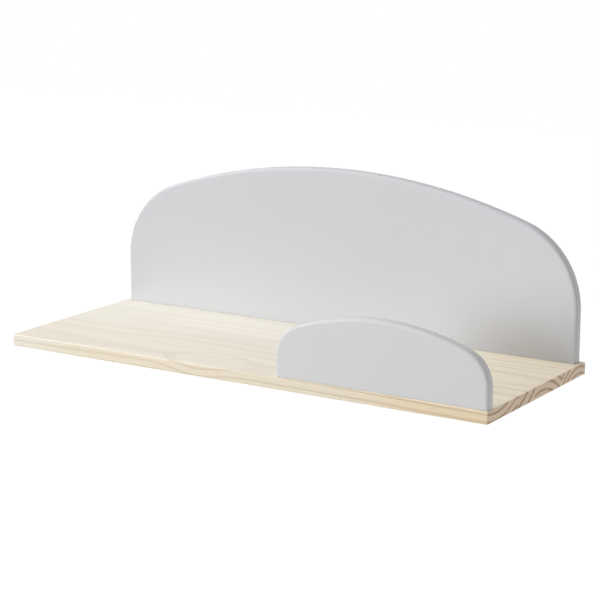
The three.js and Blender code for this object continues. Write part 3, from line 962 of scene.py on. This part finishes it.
def hanger_outline(width, height):
    """The hanger seen from the wall: its rounded outline, the keyhole and the two screw holes."""
    x = width / 2 - HANGER_CORNER_RADIUS
    z = height / 2 - HANGER_CORNER_RADIUS
    outline = []
    for i, (cx, cz) in enumerate(((x, -z), (x, z), (-x, z), (-x, -z))):
        start = (i - 1) * QUARTER_TURN
        outline += arc(cx, cz, HANGER_CORNER_RADIUS, start, start + QUARTER_TURN, HANGER_CORNER_STEPS)
    keyhole_height = KEYHOLE_ENTRY_RADIUS + KEYHOLE_SLOT_LENGTH + KEYHOLE_SLOT_RADIUS
    entry_z = KEYHOLE_ENTRY_RADIUS - keyhole_height / 2
    slot_z = entry_z + KEYHOLE_SLOT_LENGTH
    mouth = QUARTER_TURN + math.asin(KEYHOLE_SLOT_RADIUS / KEYHOLE_ENTRY_RADIUS)
    keyhole = arc(0, slot_z, KEYHOLE_SLOT_RADIUS, 0, math.pi, KEYHOLE_SLOT_STEPS)
    keyhole += arc(0, entry_z, KEYHOLE_ENTRY_RADIUS, mouth, 3 * math.pi - mouth, KEYHOLE_ENTRY_STEPS)
    screw_z = (height - FLANGE_LENGTH) / 2
    radius = HANGER_SCREW_RADIUS + HOLE_CLEARANCE
    holes = [arc(0, side * screw_z, radius, 0, FULL_TURN, HANGER_HOLE_SIDES)[:-1] for side in (1, -1)]
    return [outline, keyhole, *holes]


def flat_region(loops, levels):
    """Triangles of the region inside the first loop and outside the others, split at the given heights."""
    mesh = bmesh.new()
    edges = []
    for loop in loops:
        corners = [mesh.verts.new((x, 0, z)) for x, z in loop]
        edges += [mesh.edges.new((a, b)) for a, b in zip(corners, corners[1:] + corners[:1])]
    bmesh.ops.triangle_fill(mesh, edges=edges, use_beauty=True, use_dissolve=False)
    for level in levels:
        parts = mesh.verts[:] + mesh.edges[:] + mesh.faces[:]
        plane = {"plane_co": (0, 0, level), "plane_no": (0, 0, 1)}
        bmesh.ops.bisect_plane(mesh, geom=parts, dist=JOIN_DISTANCE, **plane)
    mesh.verts.ensure_lookup_table()
    return mesh


def bent_sheet(flat, centre, panel_rear, surfaces):
    """The flat region laid on the sheet's inner and outer surface, and closed round its rims."""
    mesh = bmesh.new()
    layers = []
    for heights, outs in surfaces:
        layer = []
        for v in flat.verts:
            y = panel_rear + np.interp(v.co.z, heights, outs)
            layer.append(mesh.verts.new((centre.x + v.co.x, y, centre.z + v.co.z)))
        layers.append(layer)
    for face in flat.faces:
        for layer in layers:
            mesh.faces.new([layer[v.index] for v in face.verts])
    inner, outer = layers
    for edge in flat.edges:
        if edge.is_boundary:
            a, b = (v.index for v in edge.verts)
            mesh.faces.new([inner[a], inner[b], outer[b], outer[a]])
    return mesh


def build_hanger(node, material):
    """A bent steel hanger with a keyhole, in its node's place."""
    low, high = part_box(node)
    surfaces = [hanger_profile(low, high, offset) for offset in (-SHEET / 2, SHEET / 2)]
    limit = (high.z - low.z) / 2 - HANGER_END_MARGIN
    heights = surfaces[0][0] + surfaces[1][0]
    levels = sorted({round(z, LEVEL_DIGITS) for z in heights if abs(z) < limit})
    flat = flat_region(hanger_outline(high.x - low.x, high.z - low.z), levels)
    hanger = add_object(f"{node}_bent", bent_sheet(flat, (low + high) / 2, low.y, surfaces))
    flat.free()
    soften(hanger, HANGER_SMOOTH_ANGLE)
    finish_piece(hanger, material, node)


# Studio

def build_camera():
    data = bpy.data.cameras.new("camera")
    data.lens = CAMERA_LENS_MM
    data.sensor_width = CAMERA_SENSOR_MM
    camera = bpy.data.objects.new("camera", data)
    camera.location = CAMERA_PLACE
    camera.rotation_euler = (QUARTER_TURN - CAMERA_PITCH, 0, CAMERA_YAW)
    bpy.context.scene.collection.objects.link(camera)
    bpy.context.scene.camera = camera


def build_world():
    """An even sky that lights the object at a plain level and shows white."""
    world = bpy.data.worlds.new("studio")
    bpy.context.scene.world = world
    s = Nodes(world)
    light = s.add("Background", {"Color": srgb(*SKY_COLOUR), "Strength": WORLD_STRENGTH})
    white = s.add("Background", {"Color": srgb(*SKY_COLOUR)})
    sky = s.add("MixShader", {0: s.seen_directly(), 1: light.outputs[0], 2: white.outputs[0]})
    s.add("OutputWorld", {"Surface": sky.outputs[0]})


def build_floor():
    """A pale floor below the hung shelf. It takes the shelf's shadow and shows white where it is lit."""
    mesh = bmesh.new()
    half = FLOOR_SIZE / 2
    corners = [(-half, -half), (half, -half), (half, half), (-half, half)]
    mesh.faces.new([mesh.verts.new((x, y, -FLOOR_DROP)) for x, y in corners])
    floor = add_object("floor", mesh)
    material = bpy.data.materials.new("pale_floor")
    s = Nodes(material)
    diffuse = s.add("BsdfDiffuse", {"Color": srgb(*FLOOR_COLOUR)})
    glow = s.add("Emission", {"Strength": s.math("MULTIPLY", s.seen_directly(), FLOOR_GLOW)})
    both = s.add("AddShader", {0: diffuse.outputs[0], 1: glow.outputs[0]})
    s.add("OutputMaterial", {"Surface": both.outputs[0]})
    floor.data.materials.append(material)


def add_lamp(name, azimuth, elevation, strength, width):
    """A square soft box that faces the object. Azimuth 0 is the front, and strength 1 makes white white."""
    around = math.radians(azimuth)
    up = math.radians(elevation)
    away = Vector((math.sin(around) * math.cos(up), -math.cos(around) * math.cos(up), math.sin(up)))
    data = bpy.data.lights.new(name, "AREA")
    data.size = width
    data.energy = strength * (math.pi * LAMP_DISTANCE) ** 2
    lamp = bpy.data.objects.new(name, data)
    lamp.location = Vector(LAMP_TARGET) + LAMP_DISTANCE * away
    lamp.rotation_euler = (-away).to_track_quat("-Z", "Y").to_euler()
    bpy.context.scene.collection.objects.link(lamp)


def build_studio():
    build_camera()
    build_world()
    build_floor()
    for lamp in LAMPS:
        add_lamp(*lamp)
    bpy.context.scene.view_settings.view_transform = "Standard"


steel = zinc_steel()
build_board()
build_panels()
build_screws(steel)
for side in ("left", "right"):
    build_hanger(f"hanger_{side}", steel)
dress_dowels(beech())
build_studio()

bpy.context.view_layer.update()
